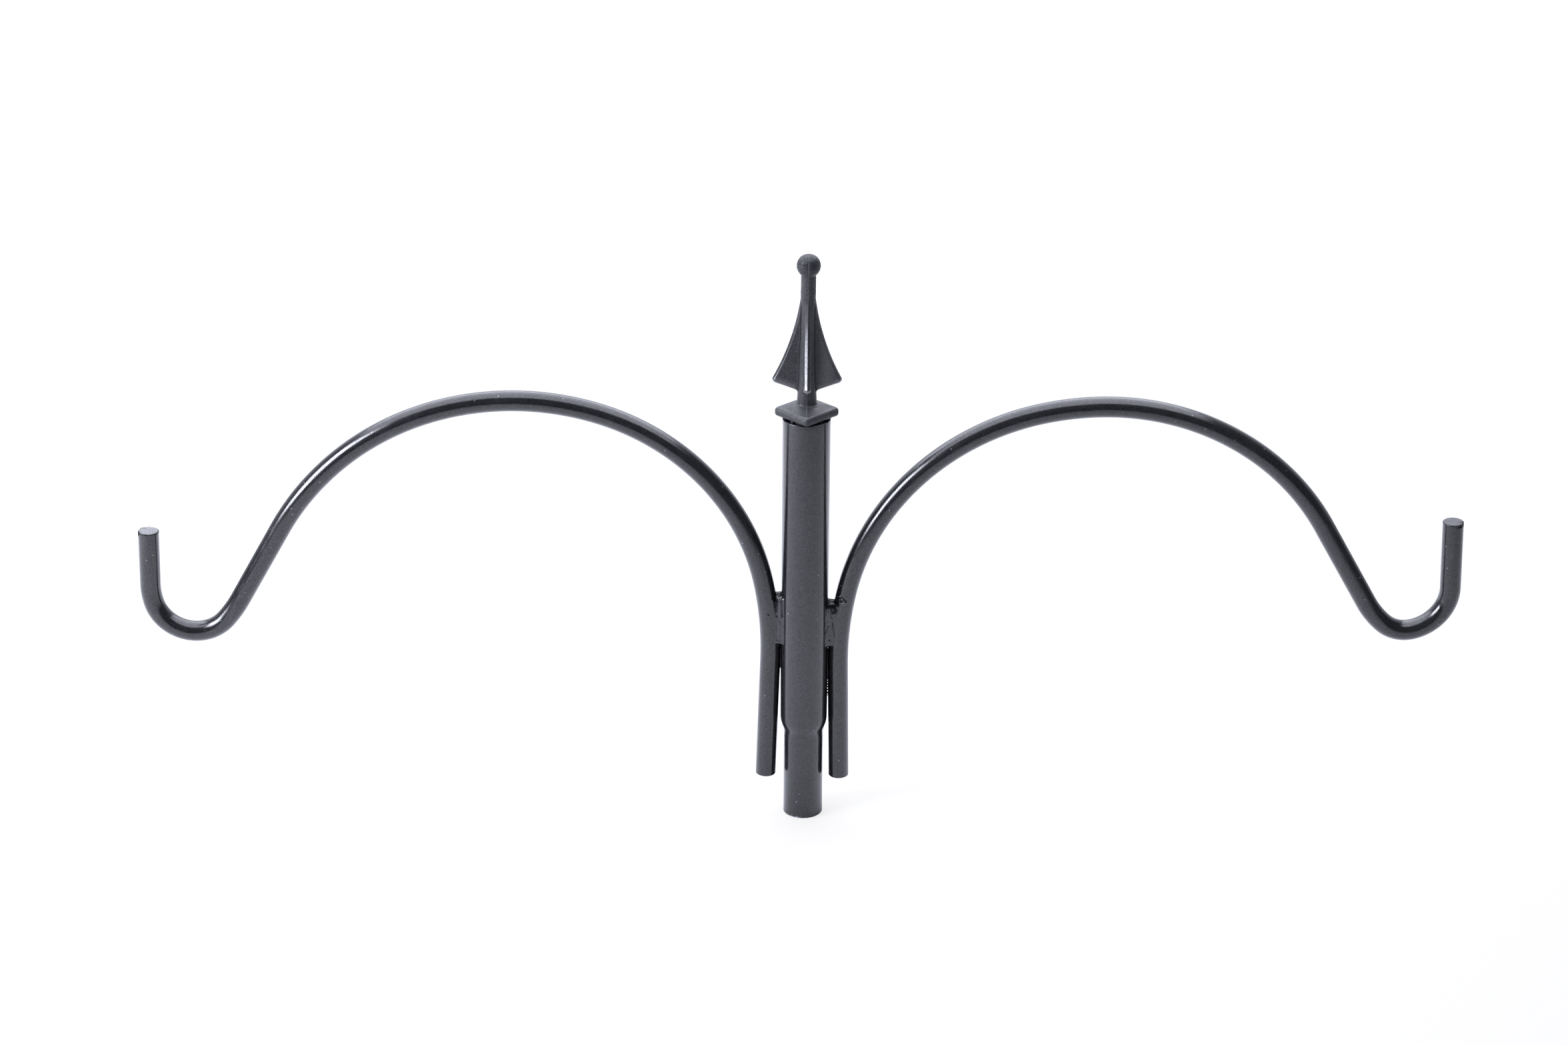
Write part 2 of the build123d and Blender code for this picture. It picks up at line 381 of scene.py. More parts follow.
def along_route(arm, stations):
    """Points and headings at these distances along the bar. In a span the heading
    turns evenly, h + k s, and the point moves by the integral of its cosine and
    sine: (sin(h + k s) - sin h) / k and (cos h - cos(h + k s)) / k."""
    point, heading, spans = arm_route(arm)
    place = np.zeros((len(stations), 2))
    facing = np.zeros(len(stations))
    begun = 0.0
    for number, (length, bend) in enumerate(spans, 1):
        upto = begun + length if number < len(spans) else np.inf
        inside_span = (stations >= begun) & (stations < upto)
        done = np.append(stations[inside_span] - begun, length)
        turned_to = heading + bend * done
        if bend:
            along = np.sin(turned_to) - np.sin(heading)
            upward = np.cos(heading) - np.cos(turned_to)
            moved = np.stack([along, upward], axis=-1) / bend
        else:
            moved = done[:, None] * np.array([np.cos(heading), np.sin(heading)])
        place[inside_span] = point + moved[:-1]
        facing[inside_span] = turned_to[:-1]
        point, heading, begun = point + moved[-1], turned_to[-1], begun + length
    return place, facing


def marks_at(points, marks):
    """The sum of marks, each a ridge along a short line: distance from the tube's
    axis and height at both its ends, the ridge's width and its top. The ridge
    falls off with the squared distance from its line over its width, as a bell
    does, and one with a negative top is a hollow."""
    across, height = np.abs(points[..., 0]), points[..., 2]
    rise = 0 * across
    for across_0, height_0, across_1, height_1, width, top in marks:
        along = np.array([across_1 - across_0, height_1 - height_0])
        share = ((across - across_0) * along[0] + (height - height_0) * along[1]) / (along @ along)
        share = np.clip(share, 0, 1)
        aside = across - across_0 - share * along[0]
        over = height - height_0 - share * along[1]
        rise += top * np.exp(-(aside ** 2 + over ** 2) / width ** 2)
    return rise


def pressed(points, facing, marks):
    """Points raised by marks towards the front or the rear, where they lie in
    front of the middle plane by more than a small distance."""
    near_face = np.clip(facing * points[..., 1] - mark_front, 0, 1)
    points[..., 1] += facing * marks_at(points, marks) * near_face
    return points


def bar_rings(arm):
    """A circle carried along the bar's middle line, square to it. At each end it
    shrinks round a small quarter curve and then runs in across the sawn face. At
    the tip the rim is ragged: at an angle, over a width, it stands out. Dents take
    from the radius there: at an angle, over a width, at a distance from the tip
    with a spread, to a depth. Both are bells. The rings come with their distance
    to the nearer end and with how dull they are."""
    total = sum(span[0] for span in arm_route(arm)[2])
    swing = np.linspace(0, np.pi / 2, 7)
    face_shares = np.array([0.2, 0.45, 0.7, 0.92])
    end_in = np.concatenate([0 * face_shares, bar_end_round * (1 - np.cos(swing))])
    end_radius = np.concatenate([
        (bar_radius - bar_end_round) * face_shares,
        bar_radius - bar_end_round * (1 - np.sin(swing)),
    ])
    by_weld = np.arange(arm["hug"] + weld_zone[0], arm["hug"] + weld_zone[1], weld_step)
    by_weld -= arm["hug"] - arm["leg"]
    body = np.linspace(bar_end_round, total - bar_end_round, int(total / bar_step))[1:-1]
    near_tip = total - np.arange(tip_first, tip_last, tip_step)
    body = np.concatenate([body, by_weld, near_tip, [tip_first]])
    body = np.unique(body.round(3))
    stations = np.concatenate([end_in, body, total - end_in[::-1]])
    radius = np.concatenate([end_radius, body * 0 + bar_radius, end_radius[::-1]])
    place, facing = along_route(arm, stations)
    angle = np.linspace(0, 2 * np.pi, bar_around, endpoint=False)
    to_tip = total - stations
    to_end = np.minimum(stations, to_tip)

    def round_bell(where, width):
        return np.exp(-(((np.degrees(angle) - where + 180) % 360 - 180) / width) ** 2)

    dent = sum(
        depth * np.exp(-((to_tip[:, None] - down) / spread) ** 2) * round_bell(where, width)
        for where, width, down, spread, depth in arm["tip_dents"]
    ) * (radius[:, None] / bar_radius) ** 3
    dented = radius[:, None] - dent
    out = dented * np.cos(angle)
    rings = np.stack([
        arm["side"] * (place[:, :1] - out * np.sin(facing)[:, None]),
        -dented * np.sin(angle),
        place[:, 1:] + out * np.cos(facing)[:, None],
    ], axis=-1)
    at_tip = np.clip(1 - to_tip / rag_depth, 0, 1) * (radius / bar_radius) ** 3
    rag = sum(top * round_bell(where, width) for where, width, top in arm["tip_rag"])
    ahead = at_tip[:, None] * rag
    rings[..., 0] += arm["side"] * ahead * np.cos(facing)[:, None]
    rings[..., 2] += ahead * np.sin(facing)[:, None]
    rings = pressed(rings, -1, arm["front_marks"])
    rim_shares = np.array([1, 1, 1, 1, 1, 0.8, 0.3])
    end_dull = np.concatenate([arm["face_dull"] + 0 * face_shares, arm["rim_dull"] * rim_shares])
    dull = np.concatenate([end_dull, 0 * body, end_dull[::-1]])
    # Painted shadow: the dents are made dull so that they look shaded.
    dull = np.maximum(dull[:, None], np.clip(dent_painted_shadow * dent, 0, 1))
    return rings, to_end, dull


for name, arm in arms.items():
    rings, to_end, dull = bar_rings(arm)
    edge = edge_chips * np.exp(-((to_end - edge_middle) / edge_width) ** 2)
    by_hook = np.exp(-((np.abs(rings[..., 0]) - dust_reach) / dust_spread) ** 2)
    sawn = arm["thin"] * (to_end < 0.01)
    piece = skin(
        name + "_bar", [rings], chips=[edge[:, None]], sawn=[sawn[:, None]], dull=[dull],
        dust=[arm["dust"] * (dust_least + (1 - dust_least) * by_hook)],
    )
    piece.data.materials.append(powder_coat_finish)
    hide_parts(name)
    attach(piece, "frame")

# Weld beads
# Each arm is welded to the tube by a bead in the groove at the front and one
# at the rear, run by hand, so that they pool, pit and spatter unevenly. Below
# them the powder coat closes the hair gap where the leg lies on the tube.
bead_back = 1.2
bead_on_tube = 5.5
bead_on_bar = 24
bead_leaves_tube = -28
bead_meets_bar = 8
bead_sunk = 0.04
bead_end_fall = 0.75
bead_end_depth = 0.999
bead_back_step = 0.4
bead_wander = ((0.05, 0.9, 2, 2), (0.04, 0.5, 3, 1))
cling_middle = 0.35
cling_power = 0.6
film_half_thick = 0.5
film_overlap = 0.25
film_end_share = 0.15
film_rows = 24
bead_columns = 64
bead_rows = 110
row_margin = 0.02
film_margin = 0.05
beads = {
    "left": {
        "arm": "left_arm", "foot": 90.5, "top": 114.9, "cling": (0.9, 1.7),
        "front": (
            (11.6, 114.6, 11.5, 113.0, 0.6, 0.25), (11.45, 113.0, 11.2, 104.0, 0.4, 0.22),
            (10.3, 113.0, 9.75, 93.0, 0.3, 0.16), (10.85, 113.5, 10.7, 105.2, 0.28, -0.22),
            (10.7, 105.9, 10.65, 105.3, 0.3, -0.25), (14.9, 115.0, 13.7, 113.4, 0.7, -0.4),
            (13.2, 105.6, 13.7, 114.5, 0.7, -0.22), (13.3, 107.2, 13.7, 114.5, 0.8, -0.2),
            (13.5, 108.8, 13.7, 114.5, 0.9, -0.2), (13.6, 110.4, 13.7, 114.5, 0.9, -0.25),
            (13.8, 112.0, 13.9, 114.5, 1.0, -0.3), (13.1, 105.9, 12.9, 105.4, 0.4, -0.25),
            (12.0, 102.5, 11.9, 92.0, 0.4, 0.14), (11.6, 102.0, 10.5, 97.0, 0.3, 0.14),
            (12.9, 101.0, 12.7, 95.0, 0.5, -0.1), (14.4, 103.5, 13.9, 97.0, 0.6, 0.08),
            (13.0, 92.6, 11.0, 91.9, 0.4, 0.14),
        ),
        "rear": (
            (11.6, 113.5, 11.2, 104.0, 0.6, 0.3), (12.9, 109.0, 13.1, 107.5, 0.6, -0.5),
            (11.9, 101.0, 12.6, 93.5, 0.45, 0.25), (13.6, 98.0, 13.7, 97.5, 0.4, -0.35),
        ),
        # Painted shade: spots made dull so that the bead's hollows look dark.
        "dark": (
            (14.6, 115.4, 13.6, 113.0, 0.9, 1.1), (13.4, 110.6, 13.2, 107.6, 0.8, 0.75),
            (12.4, 115.2, 14.6, 115.6, 1.0, 1.1), (12.4, 113.4, 12.6, 111.0, 0.3, 0.5),
        ),
        "coated": ((76.2, 91.5),),
    },
    "right": {
        "arm": "right_arm", "foot": 89.4, "top": 111.2, "cling": (0.8, 1.6),
        "front": (
            (10.4, 110.0, 11.0, 102.0, 0.4, 0.2), (13.6, 108.2, 13.7, 107.8, 0.45, -0.4),
            (14.6, 108.5, 14.4, 108.2, 0.4, -0.45), (13.05, 102.6, 13.2, 100.3, 0.16, -0.3),
            (13.2, 100.3, 14.1, 94.9, 0.16, -0.3), (11.46, 101.4, 10.9, 99.9, 0.16, -0.25),
            (10.9, 99.9, 9.9, 97.2, 0.16, -0.25), (11.64, 93.6, 11.64, 93.4, 0.3, -0.3),
            (12.0, 101.0, 12.1, 95.5, 0.5, -0.14), (11.6, 92.4, 12.6, 91.8, 0.6, 0.14),
            (12.7, 105.0, 13.0, 112.0, 0.5, -0.2), (13.0, 107.5, 13.2, 112.0, 0.7, -0.3),
            (13.1, 109.2, 13.3, 112.0, 0.9, -0.3), (14.8, 109.2, 15.1, 112.5, 0.5, -0.35),
            (14.6, 106.5, 14.6, 102.5, 0.5, 0.16),
            (11.9, 109.5, 11.8, 104.0, 0.4, 0.22), (15.2, 110.6, 14.4, 109.4, 0.4, 0.3),
        ),
        "rear": (
            (11.2, 110.0, 11.6, 99.0, 0.55, 0.3), (13.4, 106.0, 13.1, 104.8, 0.55, -0.5),
            (12.6, 97.8, 12.3, 93.5, 0.5, 0.25), (14.1, 101.0, 14.3, 100.2, 0.4, -0.3),
        ),
        # Painted shade: spots made dull so that the bead's hollows look dark.
        "dark": (
            (9.8, 111.1, 14.8, 111.4, 1.3, 1.2), (12.6, 110.8, 14.6, 108.4, 0.9, 0.9),
            (11.2, 110.4, 11.0, 107.6, 0.35, 0.4), (10.2, 111.0, 10.1, 106.5, 0.3, 0.5),
            (12.4, 108.6, 12.3, 105.0, 0.3, 0.35),
        ),
        "coated": (
            (88.75, 91.0), (87.2, 88.0), (70.1, 86.7), (68.7, 69.6), (67.2, 68.2), (65.9, 66.8),
            (64.4, 65.3), (62.7, 63.7), (61.7, 62.2),
        ),
    },
}


def groove_reach(bead, height):
    """Distance of the bar's middle from the tube's axis at a height by the weld:
    the leg's straight lean below its first bend, and the bend's arc above."""
    arm = arms[bead["arm"]]
    first = arch_radius * arm["arch"][0][0]
    low = arm["hug"] - first * np.sin(np.radians(arm["lean"]))
    rise = np.maximum(height, low) - arm["hug"]
    bent = touching_reach + first - np.sqrt(first ** 2 - rise ** 2)
    return bent + np.maximum(low - height, 0) * np.tan(np.radians(arm["lean"]))


def bead_rings(bead, facing, marks):
    """The bead's outline, carried up the groove. Its face is a cubic curve from a
    toe on the tube to a toe on the bar, with a given slope at each, and its back
    lies inside the groove. At each end the face falls back along a quarter
    circle, and creeps along both walls by a parabola, where the metal clings. Its
    face wanders in and out by two slow waves. The rings come with how dull they
    are at the bead's dark marks, which are painted shade in its hollows."""
    share = (1 - np.cos(np.linspace(row_margin, np.pi - row_margin, bead_rows))) / 2
    height = bead["foot"] + (bead["top"] - bead["foot"]) * share
    to_end = np.minimum(height - height[0], height[-1] - height)
    fall = np.clip(1 - to_end / bead_end_fall, 0, 1)
    full = np.sqrt(1 - bead_end_depth * fall ** 2)[:, None]
    reach = groove_reach(bead, height)[:, None]
    on_bar = np.radians(bead_on_bar)
    begin = np.sqrt((tube_radius - bead_sunk) ** 2 - bead_on_tube ** 2)
    end = reach - (bar_radius - bead_sunk) * np.sin(on_bar)
    end_depth = (bar_radius - bead_sunk) * np.cos(on_bar)
    u = np.linspace(0, 1, bead_columns)
    span = end - begin
    across = begin + u * span
    depth = (
        (2 * u ** 3 - 3 * u ** 2 + 1) * bead_on_tube + (3 * u ** 2 - 2 * u ** 3) * end_depth
        + (u ** 3 - 2 * u ** 2 + u) * span * np.tan(np.radians(bead_leaves_tube))
        + (u ** 3 - u ** 2) * span * np.tan(np.radians(bead_meets_bar))
    )
    wander = sum(
        size * np.sin(rate * height + phase * facing)[:, None] * np.sin(halves * np.pi * u)
        for size, rate, phase, halves in bead_wander
    )
    depth = bead_back + (depth + wander - bead_back) * full
    creep = np.where(share > 0.5, bead["cling"][1], -bead["cling"][0])[:, None]
    creep = creep * ((2 * u - 1) ** 2 - cling_middle) * (fall ** cling_power)[:, None]
    upward = height[:, None] + creep
    front = np.stack([across, facing * depth, upward], axis=-1)
    behind = np.broadcast_to(facing * (bead_back - bead_back_step), across.shape)
    back = np.stack([across[:, ::-1], behind, upward[:, ::-1]], axis=-1)
    rings = np.concatenate([pressed(front, facing, marks), back], axis=1)
    # Painted shade: the dark marks set the dull attribute.
    dull = np.clip(marks_at(rings, bead["dark"]), 0, 1) * np.clip(4 * full - 1, 0, 1)
    rings[..., 0] *= arms[bead["arm"]]["side"]
    return rings, dull


def gap_coat_rings(bead, low, high):
    """A thin oval in the gap between the tube and the leg, carried up from one
    height to the other, and drawn in to a round at both ends."""
    swing = np.linspace(film_margin, np.pi - film_margin, film_rows)
    height = low + (high - low) * (1 - np.cos(swing)) / 2
    end = np.minimum(1, np.minimum(height - low, high - height) / film_overlap + film_end_share)
    gap = np.maximum(groove_reach(bead, height) - bar_radius - tube_radius, 0)
    angle = np.linspace(0, 2 * np.pi, film_rows, endpoint=False)
    half = (gap / 2 + film_overlap)[:, None]
    return np.stack([
        arms[bead["arm"]]["side"] * (tube_radius + gap[:, None] / 2 + half * np.cos(angle)),
        film_half_thick * end[:, None] * np.sin(angle),
        height[:, None] + 0 * angle,
    ], axis=-1)


for side_name, bead in beads.items():
    for face_name, facing in (("front", -1), ("rear", 1)):
        rings, dull = bead_rings(bead, facing, bead[face_name])
        piece = skin(f"{side_name}_{face_name}_bead", [rings], dull=[dull])
        piece.data.materials.append(powder_coat_finish)
        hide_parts(f"{side_name}_{face_name}_weld")
        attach(piece, "frame")
    films = [gap_coat_rings(bead, low, high) for low, high in bead["coated"]]
    piece = skin(f"{side_name}_gap_coat", films)
    piece.data.materials.append(powder_coat_finish)
    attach(piece, "frame")

# Finial
# One moulding of dark plastic, made in a two-part mould: a ribbed plug that is
# pushed into the tube, a square flange, a tapering stem with four fins, a ball.
flange_bottom = tube_length + 0.9
flange_half = 10.85
flange_edge = 3.9
flange_rise = 1.95
flange_corner = 2.0
flange_round = 1.6
flange_shoulder = flange_bottom + flange_edge
flange_top = flange_shoulder + flange_rise
pad_half = 4.6
stem_radius = 4.5
stem_foot_round = 1.2
stem_foot_length = 1.8
stem_flare = 52.0
neck_radius = 3.4
neck_blend = 0.5
ball_radius = 5.42
ball_centre = flange_bottom + 72.1
ball_dip = 0.28
ball_dip_width = 2.5
nib_width = 0.7
fin_reach = 16.66
fin_half = 1.58
fin_edge_depth = 1.3
fin_top = 60.2
fin_tip = 16.8
fin_foot_drop = 4.4
fin_bow = 2.3
fin_tip_round = 2.0
fin_root_round = 1.6
fin_blend = 1.2
fin_blend_rate = 1.5
fin_top_sunk = 0.4
fin_samples = 160
slope_blend = 0.25
plug_radius = 9.6
plug_core = 8.3
plug_length = 22.0
plug_rib_half = 0.6
plug_rib_side = 0.12
plug_lead_depth = 0.8
plug_lead_length = 3.0
plug_bottom = flange_bottom - plug_length
plug_end_inset = 0.25
plug_end_rings = (0.35, 0.7, 0.9, 1.0)
plug_rings = (0.3, 1.2, 2.2, 3.0, 3.4, 6, 10, 15, 20, 21.7)
under_rings = (0.02, 0.2, 0.4, 0.6, 0.8, 0.95)
nib_rings = (172, 174, 176, 178, 179.2)
crest_height = 0.045
crest_width = 0.16
stem_crest_height = 0.105
stem_crest_width = 0.56
parting_width = 0.15
lean_most = 0.25
lean_height = 60
quarter_columns = 64
bend_columns = 0.35
parting_columns = 0.06
sweep = np.radians(np.linspace(-45, 45, 1441))


def square_outline(half, corner):
    """Distance to the edge of a rounded square whose corner lies at angle 0. On a
    flat side it is half / cos(45 degrees - angle). Round the corner it is where
    the ray leaves the corner's circle."""
    off = np.pi / 4 - np.abs(sweep)
    flat = half / np.cos(off)
    away = (half - corner) * np.sqrt(2)
    bend = away * np.cos(sweep) + np.sqrt(np.maximum(corner ** 2 - (away * np.sin(sweep)) ** 2, 0))
    return np.where(half * np.tan(off) <= half - corner, flat, bend)


def fin_outline(height, reach, core, edge):
    """Distance to the outside of a fin joined to a round core, at one height. The
    fin's half thickness grows from nothing at its edge, where the mould parts, by
    a parabola of the distance d from that edge: half (1 - (1 - d / depth) squared).
    Fin and core meet in a smooth maximum, which adds (k - difference) squared over
    4 k where they are within k."""
    out = reach - (reach - core * 0.9) * np.linspace(0, 1, fin_samples) ** 2
    along = edge[1:] - edge[:-1]
    off = np.stack([out, height + 0 * out], axis=-1)[:, None] - edge[:-1]
    share = np.clip((off * along).sum(axis=-1) / np.maximum((along ** 2).sum(axis=-1), 1e-12), 0, 1)
    inward = np.linalg.norm(off - share[..., None] * along, axis=-1).min(axis=1)
    inward[0] = 0
    half = fin_half * (1 - np.clip(1 - inward / fin_edge_depth, 0, 1) ** 2)
    half = np.maximum.accumulate(half)
    slab = np.interp(np.abs(sweep), np.arctan2(half, out), np.hypot(half, out), right=0)
    within = np.clip(fin_blend_rate * (reach - core), 1e-3, fin_blend)
    near = np.maximum(within - np.abs(slab - core), 0)
    return np.maximum(slab, core) + near ** 2 / (4 * within)


def stem_outline(height):
    """The stem's radius: an arc that is upright at the neck and reaches the foot's
    radius at the foot's height."""
    low, high = flange_top + stem_foot_length, flange_top + stem_flare
    bend = ((high - low) ** 2 + (stem_radius - neck_radius) ** 2) / (2 * (stem_radius - neck_radius))
    below = np.clip(high - height, 0, high - low)
    return neck_radius + bend - np.sqrt(bend ** 2 - below ** 2)


def plug_outline(height):
    """The plug's core with a rib at every eighth of a turn, narrowed at its lower end."""
    lead = np.clip(1 - (height - plug_bottom) / plug_lead_length, 0, 1)
    rib = plug_radius - plug_lead_depth * lead
    aside = np.minimum(np.abs(sweep), np.pi / 4 - np.abs(sweep))
    inside_rib = plug_rib_half + plug_rib_side - plug_radius * np.sin(aside)
    inside_rib = np.clip(inside_rib / (2 * plug_rib_side), 0, 1)
    inside_rib = inside_rib ** 2 * (3 - 2 * inside_rib)
    return plug_core + (rib - plug_core) * inside_rib


def flange_slope(reach):
    """Height of the flange's upper face: four slopes that rise with the distance
    from the flange's side, up to the flat round the stem."""
    out = reach * np.cos(np.pi / 4 - np.abs(sweep))
    slope = flange_rise / (flange_half - pad_half)
    rise = flange_shoulder + slope * (flange_half - out)
    near = np.maximum(slope_blend - np.abs(rise - flange_top), 0)
    return np.minimum(rise, flange_top) - near ** 2


def fin_edge():
    """The fin's outline in height and reach: up the stem, out along the slanting
    foot, round the tip, and up an arc whose middle is drawn in by the bow."""
    tip = np.array([fin_reach, flange_bottom + fin_tip])
    top = np.array([neck_radius - fin_top_sunk, flange_bottom + fin_top])
    slope = fin_foot_drop / (fin_reach - stem_radius)
    root = np.array([stem_outline(tip[1] - 4), tip[1] - slope * (fin_reach - stem_radius)])
    span = top - tip
    length = np.linalg.norm(span)
    bend = (length ** 2 / 4 + fin_bow ** 2) / (2 * fin_bow)
    across = np.array([span[1], -span[0]]) / length
    centre = (tip + top) / 2 + across * (bend - fin_bow)
    half = np.arcsin(length / 2 / bend)
    swing = np.linspace(-half, half, 60)[:, None]
    bow = centre + bend * (np.sin(swing) * span / length - np.cos(swing) * across)
    foot = rounded_line([root - (0, 3), root, tip, bow[4]], (fin_root_round, fin_tip_round), 0.2, 0.35)
    return np.vstack([foot[:-1], bow[4:]])


def level(height):
    """The same height, or distance, at every angle."""
    return np.full_like(sweep, height)


def finial_rows():
    """Every ring of the moulding, from the plug's lower face to the ball's top, as
    distances from the axis and heights over an eighth of a turn each way. The
    ball's top dips round its pole, d (1 - bell) times a wider bell, so that a
    small nib stands at the pole itself."""
    plug_end = plug_outline(plug_bottom)
    rows = [(plug_end * share - plug_end_inset, level(plug_bottom)) for share in plug_end_rings]
    rows += [(plug_outline(height), level(height)) for height in plug_bottom + np.array(plug_rings)]
    under = square_outline(flange_half - flange_round, 0.3)
    for share in under_rings:
        reach = (1 - share) * plug_outline(flange_bottom) + share * under
        rows.append((reach, level(flange_bottom)))
    for swing in np.linspace(0, np.pi / 2, 8):
        inset = flange_round * (1 - np.sin(swing))
        rows.append((
            square_outline(flange_half - inset, max(flange_corner - inset, 0.3)),
            level(flange_bottom + flange_round * (1 - np.cos(swing))),
        ))
    for swing in np.linspace(0, np.pi / 2, 9):
        inset = flange_round * (1 - np.cos(swing))
        reach = square_outline(flange_half - inset, max(flange_corner - inset, 0.3))
        rows.append((reach, flange_slope(reach) - flange_round * (1 - np.sin(swing))))
    foot_reach = stem_radius + stem_foot_round
    for share in np.linspace(0, 1, 14)[1:]:
        reach = (1 - share) * under + share * foot_reach
        rows.append((reach, flange_slope(reach)))
    for swing in np.linspace(0, np.pi / 2, 8)[1:]:
        rows.append((
            level(foot_reach - stem_foot_round * np.sin(swing)),
            level(flange_top + stem_foot_round * (1 - np.cos(swing))),
        ))
    edge = fin_edge()
    for height in np.linspace(flange_top + stem_foot_length, edge[0, 1], 5)[:-1]:
        rows.append((level(stem_outline(height)), level(height)))
    core = stem_outline(edge[:, 1])
    reach = np.maximum(edge[:, 0], core)
    rows += [(fin_outline(z, r, c, edge), level(z)) for z, r, c in zip(edge[:, 1], reach, core)]
    ball_foot = ball_centre - np.sqrt(ball_radius ** 2 - neck_radius ** 2)
    for height in np.linspace(edge[-1, 1], ball_foot - 1.2, 10)[1:]:
        rows.append((level(stem_outline(height)), level(height)))
    ball_turns = (np.linspace(20, 50, 8), np.linspace(55, 170, 24), nib_rings)
    for swing in np.radians(np.concatenate(ball_turns)):
        height = ball_centre - ball_radius * np.cos(swing)
        ball = ball_radius * np.sin(swing)
        if swing > np.pi / 2:
            nib = np.exp(-(ball / nib_width) ** 2)
            height -= ball_dip * (1 - nib) * np.exp(-(ball / ball_dip_width) ** 2)
        if swing < np.pi / 2:
            near = max(neck_blend - abs(ball - neck_radius), 0)
            ball = max(ball, neck_radius) + near ** 2 / (4 * neck_blend)
        rows.append((level(ball), level(height)))
    return rows


def finial_rings():
    """The rows, each read at columns an even length apart, with more round tight
    bends and at the mould's parting line, and turned to the four quarters."""
    rings = []
    for reach, height in finial_rows():
        x, y = reach * np.cos(sweep), reach * np.sin(sweep)
        step = np.hypot(np.diff(x), np.diff(y))
        facing = np.unwrap(np.arctan2(np.diff(y), np.diff(x)))
        bend = np.abs(np.append(np.diff(facing), 0))
        middle = (sweep[1:] + sweep[:-1]) / 2 * reach[1:]
        weight = step / step.sum() + bend_columns * bend / max(bend.sum(), 1e-9)
        weight += parting_columns * np.exp(-(middle / (2 * parting_width)) ** 2) * step
        run = np.append(0, np.cumsum(weight))
        mirrored = (run + run[-1] - run[::-1]) / 2
        wanted = np.linspace(0, mirrored[-1], quarter_columns, endpoint=False)
        angle = np.interp(wanted, mirrored, sweep)
        out = np.tile(np.interp(angle, sweep, reach), 4)
        up = np.tile(np.interp(angle, sweep, height), 4)
        whole = np.concatenate([angle + quarter_turn * np.pi / 2 for quarter_turn in range(4)])
        rings.append(np.stack([out * np.cos(whole), out * np.sin(whole), up], axis=-1))
    return np.array(rings)


def moulded_plastic():
    """Matt dark plastic with a spark-eroded grain: a broad and a fine noise mottle
    its colour, others vary its gloss, its sheen and its bump. The attribute
    burnished marks the fins' and the flange's edges, which are glossier, parting
    the paler line that the mould's joint leaves, and dusted where light specks
    lie. One more attribute raises the sheen as a painted highlight on bands of
    the fins, and lowers it where it is negative, as painted shade on the ball."""
    material, shader, links, add = finish_nodes("moulded_plastic_finish")
    place = add("TexCoord", {}).outputs["Object"]
    mottle = add("Mix", {0: 0.8, 2: noise(add, place, 160, 4), 3: noise(add, place, 2200, 2)}).outputs[0]
    tint = ramp(add, mottle, 0.4, 0.61, (0.012, 0.0123, 0.0134), (0.027, 0.0275, 0.0295))
    speck = specks(add, place, 620, "dusted", 0.985, 0.72, 0.13)
    flecked = blend(add, speck, tint, (0.2, 0.2, 0.21, 1))
    lined = blend(add, reading(add, "parting"), flecked, (0.07, 0.071, 0.075, 1))
    links.new(lined, shader["Base Color"])

    burnished = reading(add, "burnished")
    sheen = carried(add, noise(add, place, 1900, 3), 0.35, 0.65, 0.15, 0.41)
    shine = product_sum(add, burnished, 0.12, sheen)
    # Painted highlight and shade: this attribute adds sheen on bands of the fins and takes it from the
    # ball.
    shine = product_sum(add, reading(add, "rubbed"), 0.8, shine, use_clamp=True)
    links.new(shine, shader["Specular IOR Level"])
    matt = carried(add, noise(add, place, 230, 3), 0.3, 0.7, 0.44, 0.54)
    links.new(product_sum(add, burnished, -0.3, matt), shader["Roughness"])
    links.new(bump(add, noise(add, place, 2600, 3), 0.5, 0.00003), shader["Normal"])
    return material


rings = finial_rings()
aside, depth, up = rings[..., 0], rings[..., 1], rings[..., 2]
reach = np.hypot(aside, depth)
fins_from, fins_to = flange_top + 5, ball_centre - 14
stem_margin = 0.4
fin_zone = np.clip((up - fins_from) / 2, 0, 1) * np.clip((fins_to - up) / 10, 0, 1)
side_on = np.minimum(np.abs(aside), np.abs(depth))
nose = fin_zone * np.clip(reach - stem_radius - stem_margin, 0, 1)
nose *= np.clip((fin_half - side_on - 0.05) / 0.2, 0, 1)
worn_height, worn_width, worn_share = flange_shoulder + 0.1, 0.35, 0.8
edge_zone = np.exp(-((up - worn_height) / worn_width) ** 2) * (reach > flange_half - flange_round)
burnished = np.maximum(nose, worn_share * edge_zone)

on_stem = np.clip((up - flange_top - 1) / 1.5, 0, 1) * (reach < stem_radius + stem_margin)
crest = crest_height + (stem_crest_height - crest_height) * on_stem
crest *= np.exp(-np.abs(aside) / (crest_width + (stem_crest_width - crest_width) * on_stem))
crest *= (up > flange_bottom + 0.2) * (reach > 0.8)
parting = np.exp(-(aside / parting_width) ** 2) * (1 - fin_zone)
parting *= (up > flange_shoulder) * (1 - 0.6 * on_stem)
lean = lean_most * np.clip((up - flange_top) / lean_height, 0, 1) ** 2
dusty_aside, dusty_width = -5.6, 0.9
dusty = fin_zone * np.exp(-((aside - dusty_aside) / dusty_width) ** 2) * (depth < 0)
